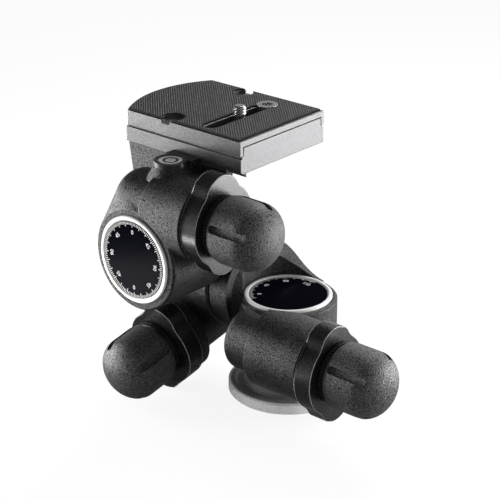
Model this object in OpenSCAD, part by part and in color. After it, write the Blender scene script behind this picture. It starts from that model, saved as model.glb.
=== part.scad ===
// Geared tripod head: three worm units stacked on turned axes, with a quick release plate on top.
// Origin: centre of the base's lower face, on the panning axis. +Z up, +X along the pan and side knobs,
// -Y along the front knob.

/* [Base] */
// Diameter of the base plate
base_d = 60; // [58:0.5:66]
// Height of the bright rim
rim_h = 5.7; // [4.5:0.1:7]
// Diameter of the neck under the pan unit
neck_d = 43; // [38:0.5:48]
// Height of the pan unit's worm axis above the base's lower face
pan_axis_h = 34.4; // [33:0.1:38]
// Diameter of the tripod thread in the base
tripod_thread_d = 9.525; // [6.35:0.005:9.6]
// Depth of the tripod thread
tripod_thread_l = 9; // [7:0.5:9.5]

/* [Worm unit] */
// Outer diameter of the pan unit's drum
pan_drum_d = 48.8; // [48.4:0.1:51]
// Outer diameter of the front tilt unit's drum
front_drum_d = 49.6; // [48.4:0.1:51]
// Outer diameter of the side tilt unit's drum
side_drum_d = 52; // [48.4:0.1:53]
// Diameter of the cavity round the wheel
cave_d = 43.6; // [42:0.1:44]
// Distance between worm axis and wheel axis
centre_dist = 23; // [22.4:0.1:23.4]
// Height of the dial ring's face above the worm axis
face_h = 18.3; // [17.8:0.1:19.4]
// Depth of the drum's lower face below the worm axis
skirt_h = 20.6; // [20:0.1:22]
// Thickness of the drum's floor
floor_t = 4.2; // [3.5:0.1:5]
// Diameter of the pan tube on the tail side
pan_tube_d = 32; // [31:0.1:36]
// Diameter of the front tilt tube on the tail side
front_tube_d = 30; // [29.5:0.1:34]
// Diameter of the side tilt tube on the tail side
side_tube_d = 32; // [31:0.1:36]
// Diameter of the worm tube on the knob side
tube_large_d = 40; // [39:0.1:41]
// Distance from the wheel axis to the pan tube's step in diameter
pan_step = 8; // [5:0.5:18]
// Distance from the wheel axis to the front tilt tube's step in diameter
front_step = 28; // [12:0.5:28]
// Distance from the wheel axis to the side tilt tube's step in diameter
side_step = 6; // [4:0.5:16]
// Length of the pan tube's tail past the wheel axis
pan_tail = 10.5; // [10:0.5:14]
// Length of the front tilt tube's tail past the wheel axis
front_tail = 15; // [12:0.5:18]
// Length of the side tilt tube's tail past the wheel axis
side_tail = 19; // [14:0.5:20]
// Number of teeth on a worm wheel
wheel_teeth = 48; // [44:1:52]
// Pitch radius of the worm
worm_pr = 5; // [4.8:0.05:5.2]
// Half width of the wheel's toothed rim
rim_half_w = 1.3; // [1:0.1:1.6]
// Length of the worm's threaded part
thread_l = 8; // [6:0.5:8.5]
// Radius of the stub axle
axle_r = 7; // [6.5:0.1:7.5]
// Outer radius of the eccentric sleeve
sleeve_r = 11; // [10.5:0.1:11.3]
// Offset of the worm axis in the eccentric sleeve
throw = 1.5; // [1.2:0.1:1.7]
// Radius of the worm shaft
shaft_r = 3.5; // [3.2:0.1:3.6]

/* [Dial] */
// Outer diameter of the bright ring
dial_ring_d = 43.8; // [43:0.1:44.4]
// Inner diameter of the bright ring
dial_ring_id = 39; // [38.6:0.1:40]
// Diameter of the opening under the dial disc
dial_seat_d = 37.2; // [37:0.1:38]
// Thickness of the dial disc
dial_t = 1; // [0.8:0.1:1.4]

/* [Collar and knob] */
// Radius of the collar's round part
collar_r = 20; // [19:0.1:21]
// Radius at the tips of the collar's two wings
wing_r = 24.8; // [23:0.1:25.6]
// Thickness of the collar
collar_t = 9.5; // [8:0.1:10]
// Diameter of a knob
knob_d = 33; // [31:0.1:34]
// Length of a knob, from its open end to the tip of its dome
knob_l = 28.4; // [26:0.1:30]
// Length of a knob's domed end
knob_dome = 12.4; // [10:0.1:14]
// Gap between collar and knob grip
knob_gap = 3.5; // [3:0.1:5]
// Number of recesses around a knob
knob_slots = 4; // [3:1:6]
// Width of a recess
slot_w = 3.8; // [3:0.1:5]
// Depth of a recess
slot_deep = 2.4; // [1.6:0.1:2.6]
// Length of a recess
slot_l = 21.6; // [16:0.1:22]

/* [Stacking] */
// Distance from the pan axis to the middle of the pan knob
pan_reach = 66.5; // [64:0.1:68]
// Distance from the front tilt axis to the middle of the front knob
front_reach = 62.2; // [60:0.1:64]
// Distance from the side tilt axis to the middle of the side knob
side_reach = 58.9; // [58:0.1:61]
// Front tilt unit: worm plane's distance from the pan axis, towards -X
front_x = 52; // [51.5:0.1:54]
// Front tilt axis: place along Y
front_y = -0.9; // [-1.5:0.1:0]
// Front tilt axis: height
front_z = 51.5; // [51:0.1:53]
// Angle by which the front knob points down
front_pitch = 11.6; // [9:0.1:13]
// Side tilt axis: distance from the pan axis, towards -X
side_x = 41.8; // [41:0.1:43]
// Side tilt unit: worm plane's distance from the pan axis, towards -Y
side_y = 47.6; // [47:0.1:49]
// Side tilt axis: height
side_z = 80; // [79:0.1:82]
// Radius of the hub that carries the front tilt unit
hub_r = 24; // [23:0.1:24.3]
// Radius of the boss that carries the side tilt unit
boss_r = 13; // [12.6:0.1:13.4]

/* [Quick release] */
// Length of the plate's straight part, along X
plate_l = 73.4; // [70:0.1:78]
// Width of the plate, along Y
plate_w = 61.6; // [60:0.1:64]
// How far the plate's rounded end bulges
plate_bulge = 10; // [8:0.1:11]
// Place of the plate's straight end along X
plate_x1 = -1.7; // [-3:0.1:0]
// Place of the plate's front edge along Y
plate_y0 = -33.4; // [-34:0.1:-33]
// Height of the top of the pad
top_z = 140.5; // [140:0.1:142]
// Height of the plate's skirt
skirt = 7.9; // [7.6:0.1:8.6]
// Wall of the plate's skirt
skirt_wall = 2; // [1.6:0.1:2.4]
// Thickness of the plate's top
plate_top_t = 2.6; // [2.4:0.1:3.2]
// Thickness of the pad
pad_t = 0.8; // [0.6:0.1:1]
// Metal left bare beyond the pad at the plate's straight end
pad_margin = 1.8; // [1:0.1:3]
// Height of the receiver's slab
slab_h = 8.8; // [8.4:0.1:9.2]
// Height of the shadow groove between plate and receiver
groove_h = 1.3; // [0.8:0.1:1.8]
// Depth of the shadow groove
groove_deep = 1.4; // [0.8:0.1:1.5]
// Diameter of the camera screw
camera_thread_d = 6.35; // [6:0.05:6.4]
// Height of the camera screw above the pad
camera_screw_h = 4.8; // [4:0.1:7]
// Diameter of the stored screw's head
stored_screw_d = 10.6; // [10:0.1:11]

/* [Level] */
// Outer radius of the level's cup
level_r = 8; // [7:0.1:8.4]
// Place of the level along X
level_x = -34.3; // [-38:0.1:-33]
// Place of the level along Y
level_y = -46.2; // [-47:0.1:-45]
// Drop from the top of the pad to the level's upper face
level_drop = 13.1; // [12.2:0.1:13.6]

/* [Hidden] */
$fn = 64;
run = 0.05;    // radial clearance of a running fit
snug = 0.02;   // radial clearance between pieces of one stage
gap = 0.2;     // gap between two stages
eps = 0.01;

cave_r = cave_d / 2;
ring_seat_z = face_h - 2.5;
drum_top_z = face_h - 1.3;
lip_t = 3;
cave_top_z = ring_seat_z - lip_t;
floor_z = floor_t - skirt_h;
boss_face = -skirt_h - gap;

gear_m = 2 * (centre_dist - worm_pr) / wheel_teeth;
wheel_pr = centre_dist - worm_pr;
tooth_add = 0.6;
tooth_ded = 0.85;
backlash = 0.2;
worm_pitch = PI * gear_m;
journal_r = shaft_r - 0.5;
journal_l = 3.6;
sleeve_x0 = -thread_l / 2 - 4.4;
cage_x1 = thread_l / 2 + 5.4;
core_r = 4.3;
cage_r = worm_pr + 1.3;
bearing_r = 8;
bearing_w = 5;
hub_pilot_r = 9.5;
bush_r = axle_r + 2.5;
washer_t = 1.2;
nut_af_r = 8.4;
nut_h = 5;
axle_flange_r = 11;
axle_flange_t = 4;
insert_r = tripod_thread_d / 2 + 1.8;
spring_r = 14;
spring_wire = 0.8;
spring_turns = 1.5;
pocket_l = 5.6;
spring_pitch = 2.2;
spring_steps = 12;
thread_steps = 12;
collar_lean = -2.5;
front_lean = -8;

// Each unit: side of the worm, drum radius, tail, tail's rounding, tube radius, step, reach
pan_unit = [-1, pan_drum_d / 2, pan_tail, 4.5, pan_tube_d / 2, pan_step, pan_reach];
front_unit = [-1, front_drum_d / 2, front_tail, 4.5, front_tube_d / 2, front_step, front_reach];
side_unit = [1, side_drum_d / 2, side_tail, 9, side_tube_d / 2, side_step, side_reach];

slab_top = top_z - skirt - 0.1;
level_z = top_z - level_drop;
slab_bot = slab_top - slab_h;
plate_top = top_z - pad_t;
plate_cx = plate_x1 - plate_l / 2;
plate_cy = plate_y0 + plate_w / 2;
slot_x = plate_x1 - 25.5;
slot_y0 = plate_y0 + 8.4;
slot_y1 = slot_y0 + 34;
screw_y = plate_y0 + 28.6;
stored_y = plate_y0 + 48.9;
platform_top = top_z - 6.4;
screw_flange_t = 1.8;
screw_neck_r = camera_thread_d / 2 - 0.3;
thread_start = 0.3;
washer_gap = 0.05;
lever_px = plate_x1 - plate_l - 4.6;
lever_py = plate_cy + 12;

// ---------- shared forms ----------

module xcyl(r, x0, x1) translate([x0, 0, 0]) rotate([0, 90, 0]) cylinder(r = r, h = x1 - x0);
module zcyl(r, z0, z1) translate([0, 0, z0]) cylinder(r = r, h = z1 - z0);
module tube(ro, ri, z0, z1) difference() {
    zcyl(ro, z0, z1);
    zcyl(ri, z0 - 1, z1 + 1);
}
module block(p0, p1) translate(p0) cube(p1 - p0);

// Frames of the three units: +Z local is the wheel axis towards the dial, +X local points to the knob
module in_pan() translate([0, 0, pan_axis_h]) children();
module in_front() translate([-front_x, front_y, front_z])
    rotate([front_pitch, 0, 0]) rotate([0, 0, -90]) rotate([90, 0, 0]) children();
module in_side() translate([-side_x, -side_y, side_z]) rotate([90, 0, 0]) children();

// side is +1 where the worm lies on the unit's +Y side, and -1 on its -Y side
module at_worm(side) translate([0, side * centre_dist, 0]) children();
module at_sleeve(side) translate([0, side * centre_dist, -throw]) children();

function open_x(reach) = reach - knob_l / 2 - knob_gap - collar_t - 0.3;
function collar_x(reach) = open_x(reach) + 0.3;
function grip_x(reach) = collar_x(reach) + collar_t + knob_gap;

// ---------- worm unit: casting ----------

module tail_end(r, c, tail, step) rotate([0, 90, 0]) rotate([0, 0, 90]) rotate_extrude()
    polygon(concat(
        [[0, step + 2], [0, -tail]],
        [for (a = [-90 : 15 : 0]) [r - c + c * cos(a), -tail + c + c * sin(a)]],
        [[r, step + 2]]));

module unit_outer(u) {
    side = u[0];
    r = u[1];
    difference() {
        union() {
            rotate_extrude() polygon([[0, -skirt_h], [r - 1, -skirt_h], [r, 1 - skirt_h],
                [r, drum_top_z - 1], [r - 1, drum_top_z], [0, drum_top_z]]);
            at_worm(side) {
                tail_end(u[4], u[3], u[2], u[5]);
                xcyl(tube_large_d / 2, u[5], open_x(u[6]));
            }
        }
        // the tube stays below the dial
        zcyl(r + 0.2, drum_top_z, drum_top_z + 10);
    }
}

module unit_void(side, reach) {
    zcyl(cave_r, floor_z, cave_top_z);
    zcyl(dial_seat_d / 2, cave_top_z - eps, ring_seat_z + 1);
    zcyl(dial_ring_d / 2 + snug, ring_seat_z, drum_top_z + 10);
    zcyl(bush_r + snug, -skirt_h - 1, floor_z + 1);
    at_sleeve(side) {
        xcyl(sleeve_r + run, sleeve_x0 - 0.4, open_x(reach) + 1);
        // pocket for the return spring
        xcyl(spring_r + spring_wire + 0.7, open_x(reach) - pocket_l, open_x(reach) + 1);
    }
}

module worm_dial() color("#101216") zcyl(dial_ring_id / 2 - snug, ring_seat_z, ring_seat_z + dial_t);
module worm_dial_ring() color("#e8e8e8") translate([0, 0, ring_seat_z]) rotate_extrude() {
    ro = dial_ring_d / 2;
    ri = dial_ring_id / 2;
    h = face_h - ring_seat_z;
    polygon([[ri, 0], [ro, 0], [ro, h - 0.5], [ro - 0.5, h], [ri + 0.7, h], [ri, h - 0.7]]);
}

// ---------- worm unit: pieces fixed to the stage below ----------

function tooth(k) = let (
        a = 90 + (k + 0.5) * 360 / wheel_teeth,
        half = (worm_pitch / 2 - backlash) / 2,
        tip = (half - tooth_add * tan(20)) / wheel_pr * 180 / PI,
        foot = (half + tooth_ded * tan(20)) / wheel_pr * 180 / PI,
        r1 = wheel_pr + tooth_add,
        r0 = wheel_pr - tooth_ded)
    [[r0 * cos(a - foot), r0 * sin(a - foot)], [r1 * cos(a - tip), r1 * sin(a - tip)],
     [r1 * cos(a + tip), r1 * sin(a + tip)], [r0 * cos(a + foot), r0 * sin(a + foot)]];

module worm_wheel() color("#b8964a") difference() {
    union() {
        translate([0, 0, -rim_half_w]) linear_extrude(2 * rim_half_w)
            polygon([for (k = [0 : wheel_teeth - 1]) each tooth(k)]);
        zcyl(hub_pilot_r, floor_z + washer_t + 0.1, 4);
    }
    zcyl(axle_r + snug, -skirt_h, 5);
    for (a = [0 : 60 : 300]) rotate(a + 30) translate([13, 0, -5]) cylinder(r = 1.8, h = 10);
}

module worm_axle() color("#9a9da0") {
    zcyl(axle_r, boss_face - eps, 4 + nut_h + 0.8);
    zcyl(axle_flange_r, boss_face - axle_flange_t, boss_face);
}
module worm_nut() color("#9a9da0") difference() {
    translate([0, 0, 4.05]) cylinder(r = nut_af_r * 2 / sqrt(3), h = nut_h, $fn = 6);
    zcyl(axle_r + snug, 3, 5 + nut_h);
}
module thrust_washer() color("#d8d4c8")
    tube(axle_r + 5, axle_r + snug, floor_z + 0.05, floor_z + washer_t + 0.05);
module worm_bush() color("#a8823c") tube(bush_r, axle_r + run, -skirt_h, floor_z);

// ---------- worm unit: worm, sleeve, collar, knob ----------

// Radius of the thread at an angle from its crest: the axial section is a trapezoid
thread_half = (worm_pitch / 2 - backlash) / 2;
function thread_a(w) = w / worm_pitch * 360;
crest_a = thread_a(thread_half - tooth_add * tan(20));
root_a = thread_a(thread_half + tooth_ded * tan(20));
function thread_r(a) = abs(a) <= crest_a ? worm_pr + tooth_add
    : abs(a) >= root_a ? worm_pr - tooth_ded
    : worm_pr + tooth_add - (abs(a) - crest_a) / (root_a - crest_a) * (tooth_add + tooth_ded);
thread_angles = concat(
    [for (t = [0 : 3]) -root_a + t * (root_a - crest_a) / 4],
    [for (t = [0 : 3]) -crest_a + t * crest_a / 2],
    [for (t = [0 : 3]) crest_a + t * (root_a - crest_a) / 4],
    [for (t = [0 : 3]) root_a + t * (360 - 2 * root_a) / 4]);

// Right-handed thread along X whose crest at x = 0 faces the wheel
module worm_thread(side) {
    n = ceil(thread_steps * thread_l / worm_pitch);
    m = len(thread_angles);
    facing = side > 0 ? 180 : 0;
    rings = [for (i = [0 : n]) let (x = thread_l * (i / n - 0.5), turn = 360 * x / worm_pitch + facing)
        [for (a = thread_angles) let (r = thread_r(a > 180 ? 180 : a))
            [x, r * cos(a + turn), r * sin(a + turn)]]];
    swept(rings, n, m);
}

module worm_shaft(side, reach) color("#c8cacc") at_worm(side) {
    worm_thread(side);
    xcyl(journal_r, -thread_l / 2 - journal_l, -thread_l / 2 + 1);
    xcyl(shaft_r, thread_l / 2 - 1, grip_x(reach) + 14);
}

module wheel_window(side) {
    // sector, seen along the worm, that stays clear of the wheel while the sleeve turns
    first = side > 0 ? 154.2 : -68;
    difference() {
        rotate([90, 0, 90]) translate([0, 0, sleeve_x0 - 1])
            linear_extrude(16.4 - sleeve_x0)
            polygon([[0, 0], for (k = [0 : 7]) 20 * [cos(first + 13.4 * k), sin(first + 13.4 * k)]]);
        xcyl(core_r, sleeve_x0 - 2, 20);
    }
}

module ecc_sleeve(side, reach) color("#7c8084") {
    x1 = collar_x(reach) + collar_t - 0.3;
    difference() {
        at_sleeve(side) xcyl(sleeve_r, sleeve_x0, x1);
        at_worm(side) {
            xcyl(journal_r + run, sleeve_x0 - 1, 0);
            xcyl(cage_r, -thread_l / 2 - 0.4, cage_x1);
            xcyl(shaft_r + run, 0, x1 + 1);
            xcyl(bearing_r + snug, x1 - bearing_w - 0.5, x1 + 1);
            wheel_window(side);
        }
    }
}

module ball_bearing(side, reach) color("#c8cacc") {
    x1 = collar_x(reach) + collar_t - 0.3;
    at_worm(side) difference() {
        xcyl(bearing_r, x1 - bearing_w - 0.5, x1 - 0.5);
        xcyl(shaft_r + run, x1 - bearing_w - 1, x1);
        translate([x1 - 0.5, 0, 0]) rotate([0, 90, 0]) tube(6.6, 5, -0.5, 1);
    }
}

// Radius of the collar's outline at an angle from the nearer wing's middle
function wing(a) = let (d = min(abs(a - 90), abs(a - 270)), w = 14, e = 38)
    d <= w ? wing_r - 0.9 * pow(d / w, 2)
    : d >= e ? collar_r
    : collar_r + (wing_r - 0.9 - collar_r) * (1 + cos((d - w) / (e - w) * 180)) / 2;

module winged_collar(side, reach, lean) color("#26282b") at_sleeve(side) translate([collar_x(reach), 0, 0])
    rotate([90, 0, 90]) difference() {
        rotate(lean) linear_extrude(collar_t)
            polygon([for (a = [0 : 4 : 356]) wing(a) * [cos(a), sin(a)]]);
        translate([0, 0, -1]) cylinder(r = sleeve_r + snug, h = collar_t + 2);
    }

// Solid through n + 1 rings of m points each
module swept(rings, n, m) polyhedron(
    [for (ring = rings) each ring],
    concat(
        [[for (j = [0 : m - 1]) j]],
        [for (i = [0 : n - 1], j = [0 : m - 1]) let (p = i * m + j, q = i * m + (j + 1) % m)
            each [[p, p + m, q], [q, p + m, q + m]]],
        [[for (j = [m - 1 : -1 : 0]) n * m + j]]));

// Torsion spring: one wire swept along a helix
module return_spring(side, reach) color("#b0b2b4") {
    n = spring_steps * spring_turns;
    m = 6;
    rings = [for (i = [0 : n]) let (a = 360 * i / spring_steps, x = spring_pitch * i / spring_steps)
        [for (j = [0 : m - 1]) let (b = 360 * j / m, r = spring_r + spring_wire * cos(b))
            [x + spring_wire * sin(b), r * cos(a), r * sin(a)]]];
    at_sleeve(side) translate([open_x(reach) - pocket_l + spring_wire + gap, 0, 0]) swept(rings, n, m);
}

module grip_knob(side, reach, turn) color("#4a4b4d") at_worm(side) translate([grip_x(reach), 0, 0]) {
    r = knob_d / 2;
    wall = 3.6;
    neck_l = knob_gap - 0.3;
    dome_x = knob_l - knob_dome;
    difference() {
        rotate([0, 90, 0]) rotate_extrude() difference() {
            polygon(concat(
                [[0, -neck_l], [10.5, -neck_l], [10.5, 0], [r - 1.6, 0], [r - 0.5, 1.2], [r, 4]],
                [for (a = [0 : 7.5 : 90]) [r * cos(a), dome_x + knob_dome * sin(a)]]));
            polygon([[7, 2.5], [r - wall, 2.5], [r - wall, knob_l - 8], [7, knob_l - 5]]);
        }
        xcyl(shaft_r + snug, -neck_l - 1, 14.1);
        for (k = [0 : knob_slots - 1]) rotate([k * 360 / knob_slots + turn, 0, 0]) {
            for (x = [0, slot_l - slot_w])
                translate([x + slot_w / 2 + 1.6, 0, r - slot_deep]) cylinder(r = slot_w / 2, h = 5);
            block([slot_w / 2 + 1.6, -slot_w / 2, r - slot_deep],
                  [slot_l - slot_w / 2 + 1.6, slot_w / 2, r + 5]);
        }
    }
}

// ---------- base ----------

module base() color("#d4d4d2") difference() {
    rotate_extrude() polygon([[0, 0], [base_d / 2 - 0.6, 0], [base_d / 2, 0.6], [base_d / 2, rim_h - 0.8],
        [base_d / 2 - 0.8, rim_h], [base_d / 2 - 3.6, rim_h], [base_d / 2 - 4.4, rim_h - 0.6],
        [neck_d / 2 + 1.2, rim_h - 0.6], [neck_d / 2, rim_h + 0.6],
        [neck_d / 2, pan_axis_h + boss_face - 0.5], [neck_d / 2 - 0.5, pan_axis_h + boss_face],
        [0, pan_axis_h + boss_face]]);
    zcyl(insert_r + snug, -1, tripod_thread_l + 0.1);
    zcyl(axle_flange_r + snug, pan_axis_h + boss_face - axle_flange_t, pan_axis_h);
}
module base_insert() color("#b08a45") tube(insert_r, tripod_thread_d / 2, 0, tripod_thread_l);

// ---------- castings ----------

module pan_casting() color("#1b1c1e") difference() {
    union() {
        in_pan() unit_outer(pan_unit);
        difference() {
            union() {
                hub();
                arm();
            }
            // room over the dial
            in_pan() zcyl(dial_ring_d / 2 + 0.5, drum_top_z, 60);
            in_pan() zcyl(pan_drum_d / 2 - 1, -skirt_h - 5, drum_top_z);
        }
    }
    in_pan() unit_void(-1, pan_reach);
    in_front() zcyl(axle_flange_r + snug, boss_face - axle_flange_t, 0);
}

// Arm from the pan drum up to the front tilt hub
module arm() {
    hub_x = skirt_h + gap - front_x;
    r = pan_drum_d / 2;
    top = pan_axis_h + drum_top_z;
    hull() {
        translate([hub_x + 4, front_y, front_z]) xcyl(hub_r - 1.5, 0, 5, $fn = 32);
        for (y = [-8, 8]) translate([-15, y, pan_axis_h]) zcyl(r - 18, -12, drum_top_z, $fn = 32);
    }
    // web behind the dial, with a hollow upper edge
    a = [hub_x + 8, front_z + 18];
    m = [hub_x + 21, front_z + 2];
    b = [hub_x + 34, top];
    back = r + 0.1;
    intersection() {
        translate([0, back, 0]) rotate([90, 0, 0]) linear_extrude(back) polygon(concat(
            [[hub_x + 4, pan_axis_h - 10], [hub_x + 4, a[1] + 3]],
            [for (t = [0 : 0.1 : 1]) (1 - t) * (1 - t) * a + 2 * t * (1 - t) * m + t * t * b],
            [[b[0], pan_axis_h - 10]]));
        hull() {
            translate([hub_x, front_y, front_z]) xcyl(hub_r - 1, 0, 44, $fn = 32);
            translate([hub_x, back - 11, front_z + 8]) xcyl(11, 0, 44, $fn = 32);
            translate([hub_x, back - 11, pan_axis_h]) xcyl(11, 0, 44, $fn = 32);
        }
    }
}

module hub() in_front() {
    zcyl(hub_r - 1, boss_face - 1, boss_face);
    zcyl(hub_r, boss_face - 12, boss_face - 1);
}

module front_casting() color("#1b1c1e") difference() {
    union() {
        in_front() unit_outer(front_unit);
        hull() {
            in_side() zcyl(boss_r, boss_face - 20, boss_face, $fn = 32);
            translate([-front_x - 8, front_y, front_z + 14]) xcyl(10, 0, 28, $fn = 32);
        }
        in_side() zcyl(boss_r, boss_face - 12, boss_face);
    }
    in_front() unit_void(-1, front_reach);
    // room for the hub of the stage below
    in_front() zcyl(hub_r + 0.5, -skirt_h - 12, -skirt_h);
    in_side() zcyl(axle_flange_r + snug, boss_face - axle_flange_t, 0);
}

module side_casting() color("#1b1c1e") difference() {
    union() {
        in_side() {
            unit_outer(side_unit);
            side_shoulder();
        }
        pedestal();
        translate([level_x, level_y, 0]) {
            translate([0, 0, level_z - 9]) cylinder(r1 = level_r + 3.6, r2 = level_r, h = 6.4);
        }
        // ledge behind the level
        block([level_x - 10, level_y + 6.7, side_z + centre_dist + 12],
              [level_x + 7, plate_y0 + 1, slab_bot - 0.2]);
        block([level_x - 10, level_y + 6.7, slab_bot - 1],
              [level_x + 7, plate_y0 + 0.1, level_z - 0.9]);
    }
    in_side() unit_void(1, side_reach);
    translate([level_x, level_y, 0]) zcyl(level_r + gap, level_z - 2.6, level_z + 1);
    translate([level_x, level_y, 0]) zcyl(level_r - 1.2 + snug, level_z - 5, level_z + 1);
    receiver_screw_places() zcyl(2.1, slab_bot - 10.5, slab_bot + 1);
}

// Skin between drum and tail, so that the casting bulges in one curve
module side_shoulder() difference() {
    r = side_unit[1];
    tail = side_unit[2];
    c = side_unit[3];
    tube_r = side_unit[4];
    hull() {
        zcyl(r - 1, -6, drum_top_z - 0.1);
        zcyl(r - 0.1, -5, drum_top_z - 1.1);
        at_worm(1) {
            xcyl(tube_r - c, -tail + 0.1, 0);
            translate([c - tail, 0, 0]) rotate([0, 90, 0]) rotate_extrude() intersection() {
                translate([tube_r - c, 0]) circle(r = c - 0.1, $fn = 40);
                translate([0, -c]) square([tube_r, 2 * c]);
            }
        }
    }
    zcyl(r + 0.2, drum_top_z, drum_top_z + 10);
}

// Space that the side collar's wings sweep
module collar_room() translate([0, throw - side_y, side_z + centre_dist])
    xcyl(wing_r + 0.5, open_x(side_reach) - side_x - 0.4, open_x(side_reach) - side_x + collar_t + 1);

module pedestal() {
    x0 = plate_x1 - plate_l;
    front = plate_y0 + 0.3;
    back = plate_cy - 4;
    tube_z = side_z + centre_dist;
    // wedge under the receiver's slab, drawn in towards its foot
    intersection() {
        translate([x0 - 2, 0, 0]) rotate([90, 0, 90]) linear_extrude(plate_l) polygon([
            [front, slab_bot], [back, slab_bot], [back, slab_bot - 3], [front + 6.5, tube_z + 5],
            [front + 3, tube_z - 4], [front, tube_z - 4]]);
        translate([0, back + 1, 0]) rotate([90, 0, 0]) linear_extrude(back - front + 2) polygon([
            [x0, slab_bot], [x0 + 4, tube_z - 5], [x0 + 40, tube_z - 5], [x0 + 44, slab_bot]]);
    }
    // thin wall that runs on towards the plate's straight end, clear of the collar's wings
    difference() {
        block([x0 + 40, front, tube_z + 12], [plate_x1 - 0.6, front + 4.5, slab_bot]);
        collar_room();
    }
}

// ---------- quick release ----------

module plate_outline(inset, corner = 0.8) {
    half_w = plate_w / 2 - inset;
    chord = plate_w / 2;
    arc_r = (chord * chord + plate_bulge * plate_bulge) / (2 * plate_bulge);
    translate([plate_cx, plate_cy]) intersection() {
        translate([-plate_l, -half_w]) square([1.5 * plate_l - inset, 2 * half_w]);
        union() {
            translate([-plate_l / 2 - plate_bulge + arc_r, 0]) circle(r = arc_r - inset, $fn = 96);
            translate([-plate_l / 2 + plate_bulge, -half_w]) square([plate_l, 2 * half_w]);
        }
    }
}

module receiver_screw_places()
    for (x = [10, 24, 38]) translate([plate_x1 - plate_l + x, plate_cy - 20, 0]) children();

module receiver() color("#8c8e90") difference() {
    union() {
        block([plate_x1 - plate_l - 1.5, plate_y0 + 0.3, slab_bot],
              [plate_x1, plate_y0 + plate_w - 0.3, slab_top - groove_h]);
        block([plate_x1 - plate_l - 1.5, plate_y0 + groove_deep, slab_bot],
              [plate_x1, plate_y0 + plate_w - groove_deep, slab_top]);
        // platform inside the plate's skirt
        block([plate_x1 - plate_l + 8, plate_y0 + skirt_wall + 0.5, slab_top],
              [plate_x1, plate_y0 + plate_w - skirt_wall - 0.5, platform_top]);
        // end wall that closes the plate's open end
        block([plate_x1 - 4, plate_y0 + skirt_wall + 0.5, platform_top - 1],
              [plate_x1, plate_y0 + plate_w - skirt_wall - 0.5, plate_top - plate_top_t - 0.5]);
        // ears for the lever
        translate([lever_px, lever_py, slab_bot]) cylinder(r = 5, h = 1.8);
        block([lever_px, lever_py - 5, slab_bot], [plate_x1 - plate_l - 1, lever_py + 5, slab_bot + 1.8]);
    }
    receiver_screw_places() {
        zcyl(2.6, slab_bot - 1, platform_top + 1);
        zcyl(4.6, slab_top - 2.4, platform_top + 1);
    }
    // channel for the jaw
    block([plate_x1 - plate_l - 3, plate_cy - 10.2, slab_top - 3],
          [plate_x1 - plate_l + 10, plate_cy + 10.2, platform_top + 1]);
    translate([lever_px, lever_py, slab_bot - 1]) cylinder(r = 2.02, h = 10);
    // room for the lever's boss and for the side collar
    translate([lever_px, lever_py, slab_bot + 1.8]) cylinder(r = 5.4, h = slab_h);
    collar_room();
    // bore of the safety button
    translate([plate_cx - 20, plate_y0 + plate_w - 12, slab_bot + slab_h / 2]) rotate([-90, 0, 0])
        cylinder(r = 2.5 + run, h = 14);
}
module receiver_screws() color("#3a3c3e") receiver_screw_places() difference() {
    union() {
        zcyl(2.05, slab_bot - 10, slab_top - 2.3);
        zcyl(4.4, slab_top - 2.4, slab_top + 0.6);
    }
    translate([0, 0, slab_top - 1.4]) cylinder(r = 1.7, h = 3, $fn = 6);
}

// Wedge that presses outwards on the plate's skirt
module locking_jaw() color("#b08a45") {
    tail_x = plate_x1 - plate_l + 7;
    intersection() {
        translate([0, 0, slab_top - 2.9]) linear_extrude(6.3) plate_outline(skirt_wall + 0.3);
        block([tail_x - 24, plate_cy - 10, slab_top + 0.4], [tail_x, plate_cy + 10, slab_top + 4]);
    }
    block([plate_x1 - plate_l + 1, plate_cy - 10, slab_top - 2.9], [tail_x, plate_cy + 10, slab_top + 0.5]);
    // nose that reaches out to the lever
    block([plate_x1 - plate_l - 1, plate_cy - 10, slab_top - 2.9], [tail_x - 4, plate_cy + 5, slab_top - 0.3]);
}

module clamp_lever() color("#26282b") difference() {
    union() {
        translate([lever_px, lever_py, slab_bot + 2]) cylinder(r = 5, h = 5);
        hull() {
            translate([lever_px - 1.6, lever_py - 3, slab_bot + 2]) cylinder(r = 2.2, h = 5, $fn = 32);
            translate([lever_px, lever_py - 29, slab_bot + 2]) cylinder(r = 2, h = 5, $fn = 32);
        }
        hull() {
            translate([lever_px, lever_py - 29, slab_bot + 1]) cylinder(r = 2.6, h = 6.2, $fn = 32);
            translate([lever_px, lever_py - 20, slab_bot + 1]) cylinder(r = 2.2, h = 6.2, $fn = 32);
        }
    }
    translate([lever_px, lever_py, slab_bot]) cylinder(r = 2 + run, h = 10);
}
module lever_pin() color("#c8cacc") translate([lever_px, lever_py, 0]) {
    zcyl(2, slab_bot, slab_bot + 7.2);
}

module safety_button() color("#b08a45")
    translate([plate_cx - 20, plate_y0 + plate_w, slab_bot + slab_h / 2]) rotate([-90, 0, 0]) {
        zcyl(2.5, -8, 1);
        zcyl(3.4, 2, 3.4);
        zcyl(2.5, 0, 2.2);
    }

module plate() color("#2c2d2f") difference() {
    translate([0, 0, plate_top - (skirt - pad_t)]) linear_extrude(skirt - pad_t) plate_outline(0);
    translate([0, 0, plate_top - skirt]) linear_extrude(skirt - plate_top_t) plate_outline(skirt_wall);
    // the skirt is open at the straight end
    block([plate_cx, plate_y0 + skirt_wall, plate_top - skirt],
          [plate_x1 + 1, plate_y0 + plate_w - skirt_wall, plate_top - plate_top_t]);
    // slot for the camera screw
    for (y = [slot_y0, slot_y1]) translate([slot_x, y, plate_top - 5])
        cylinder(r = camera_thread_d / 2 + 0.15, h = 8);
    block([slot_x - camera_thread_d / 2 - 0.15, slot_y0, plate_top - 5],
          [slot_x + camera_thread_d / 2 + 0.15, slot_y1, plate_top + 3]);
    translate([slot_x, stored_y, plate_top - 5]) cylinder(r = 4.8 + snug, h = 8);
    notches(plate_top - 1.6, 3);
}

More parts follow.
